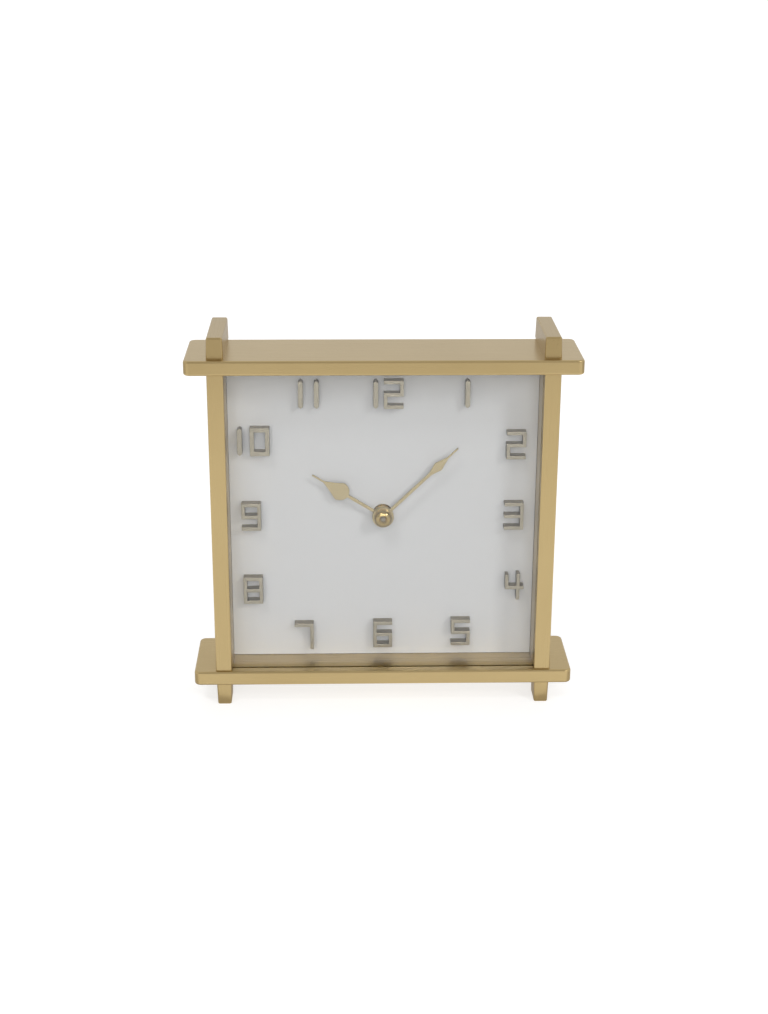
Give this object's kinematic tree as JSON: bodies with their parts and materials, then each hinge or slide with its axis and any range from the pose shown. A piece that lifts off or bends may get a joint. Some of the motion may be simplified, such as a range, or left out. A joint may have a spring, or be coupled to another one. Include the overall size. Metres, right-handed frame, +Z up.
{
  "type": "table clock",
  "caption": "Table clock with a brass-finished frame of plates and posts, glass front, white dial with strip-metal numerals, two hands and a quartz movement.",
  "frame": {"origin": "on the ground under the feet, in the middle of the clock's width and depth", "axes": "+X to the right seen from the front, +Y to the back (the dial faces -Y), +Z up"},
  "size_m": [0.21, 0.051, 0.21],
  "materials": {
    "frame_brass": "satin brushed antique brass",
    "numeral_brass": "satin strip, a little greyer than the frame",
    "hand_brass": "matt light brass",
    "bolt_steel": "blackened steel",
    "arbor_steel": "turned steel",
    "clear_glass": "clear, flat",
    "dial_white": "matt white",
    "board_fibre": "dark fibreboard",
    "washer_rubber": "black, matt",
    "case_black": "fine moulded grain",
    "cell_jacket": "plain jacket, bare ends",
    "contact_spring": "nickel-plated strip",
    "circuit_green": "solder-mask green",
    "crystal_can": "drawn can",
    "coil_copper": "enamelled copper winding on a bobbin",
    "stator_steel": "stamped sheet",
    "rotor_plastic": "moulded on the magnet",
    "knob_plastic": "ribbed black moulding",
    "wheel_plastic": "moulded natural plastic"
  },
  "bodies": {
    "frame": {"base_plate": "frame_brass", "top_plate": "frame_brass", "left_post": "frame_brass", "right_post": "frame_brass", "left_top_bar": "frame_brass", "right_top_bar": "frame_brass", "front_left_foot": "frame_brass", "front_right_foot": "frame_brass", "rear_left_foot": "frame_brass", "rear_right_foot": "frame_brass", "front_left_bolt": "bolt_steel", "front_right_bolt": "bolt_steel", "rear_left_bolt": "bolt_steel", "rear_right_bolt": "bolt_steel", "glass_pane": "clear_glass", "dial_plate": "dial_white", "backing_board": "board_fibre", "numeral_1": "numeral_brass", "numeral_2": "numeral_brass", "numeral_3": "numeral_brass", "numeral_4": "numeral_brass", "numeral_5": "numeral_brass", "numeral_6": "numeral_brass", "numeral_7": "numeral_brass", "numeral_8": "numeral_brass", "numeral_9": "numeral_brass", "numeral_10_left": "numeral_brass", "numeral_10_right": "numeral_brass", "numeral_11_left": "numeral_brass", "numeral_11_right": "numeral_brass", "numeral_12_left": "numeral_brass", "numeral_12_right": "numeral_brass", "fixing_nut": "hand_brass", "brass_washer": "hand_brass", "rubber_washer": "washer_rubber", "movement_case": "case_black", "movement_cover": "case_black", "positive_contact": "contact_spring", "negative_contact": "contact_spring", "circuit_board": "circuit_green", "quartz_crystal": "crystal_can", "drive_coil": "coil_copper", "stator": "stator_steel"},
    "minute": {"minute_arbor": "arbor_steel", "minute_hand": "hand_brass", "hand_nut": "hand_brass"},
    "hour": {"hour_wheel": "wheel_plastic", "hour_hand": "hand_brass"},
    "minute_wheel": {"minute_wheel": "wheel_plastic"},
    "setting_knob": {"setting_knob": "knob_plastic"},
    "rotor": {"rotor": "rotor_plastic"},
    "intermediate_wheel": {"intermediate_wheel": "wheel_plastic"},
    "seconds_wheel": {"seconds_wheel": "wheel_plastic"},
    "third_wheel": {"third_wheel": "wheel_plastic"},
    "centre_wheel": {"centre_wheel": "wheel_plastic"},
    "battery": {"battery": "cell_jacket"}
  },
  "joints": [
    {"name": "minute_turn", "type": "hinge", "parent": "frame", "child": "minute", "pos_m": [0, 0, 0.1055], "axis": [0, 1, 0], "continuous": true},
    {"name": "hour_turn", "type": "hinge", "parent": "frame", "child": "hour", "pos_m": [0, 0, 0.1055], "axis": [0, 1, 0], "continuous": true},
    {"name": "minute_wheel_turn", "type": "hinge", "parent": "frame", "child": "minute_wheel", "pos_m": [-0.01125, 0.011, 0.1055], "axis": [0, 1, 0], "continuous": true},
    {"name": "knob_turn", "type": "hinge", "parent": "frame", "child": "setting_knob", "pos_m": [-0.02059, 0.015, 0.11089], "axis": [0, 1, 0], "continuous": true},
    {"name": "rotor_turn", "type": "hinge", "parent": "frame", "child": "rotor", "pos_m": [-0.00642, 0.011, 0.12174], "axis": [0, 1, 0], "continuous": true},
    {"name": "intermediate_turn", "type": "hinge", "parent": "frame", "child": "intermediate_wheel", "pos_m": [0.00198, 0.011, 0.12174], "axis": [0, 1, 0], "continuous": true},
    {"name": "seconds_turn", "type": "hinge", "parent": "frame", "child": "seconds_wheel", "pos_m": [0.01062, 0.011, 0.12174], "axis": [0, 1, 0], "continuous": true},
    {"name": "third_turn", "type": "hinge", "parent": "frame", "child": "third_wheel", "pos_m": [0.00885, 0.011, 0.11169], "axis": [0, 1, 0], "continuous": true},
    {"name": "centre_turn", "type": "hinge", "parent": "frame", "child": "centre_wheel", "pos_m": [0, 0.0086, 0.1055], "axis": [0, 1, 0], "continuous": true},
    {"name": "battery_slide", "type": "slide", "parent": "frame", "child": "battery", "axis": [0, 1, 0], "range_m": [0, 0.03]}
  ],
  "couplings": [
    {"joint": "hour_turn", "follows": "minute_turn", "ratio": 0.083333},
    {"joint": "minute_wheel_turn", "follows": "minute_turn", "ratio": -0.33333},
    {"joint": "knob_turn", "follows": "minute_turn", "ratio": 1.2},
    {"joint": "intermediate_turn", "follows": "rotor_turn", "ratio": -0.16667},
    {"joint": "seconds_turn", "follows": "rotor_turn", "ratio": 0.033333},
    {"joint": "third_turn", "follows": "rotor_turn", "ratio": -0.0044444},
    {"joint": "centre_turn", "follows": "rotor_turn", "ratio": 0.00055556}
  ]
}
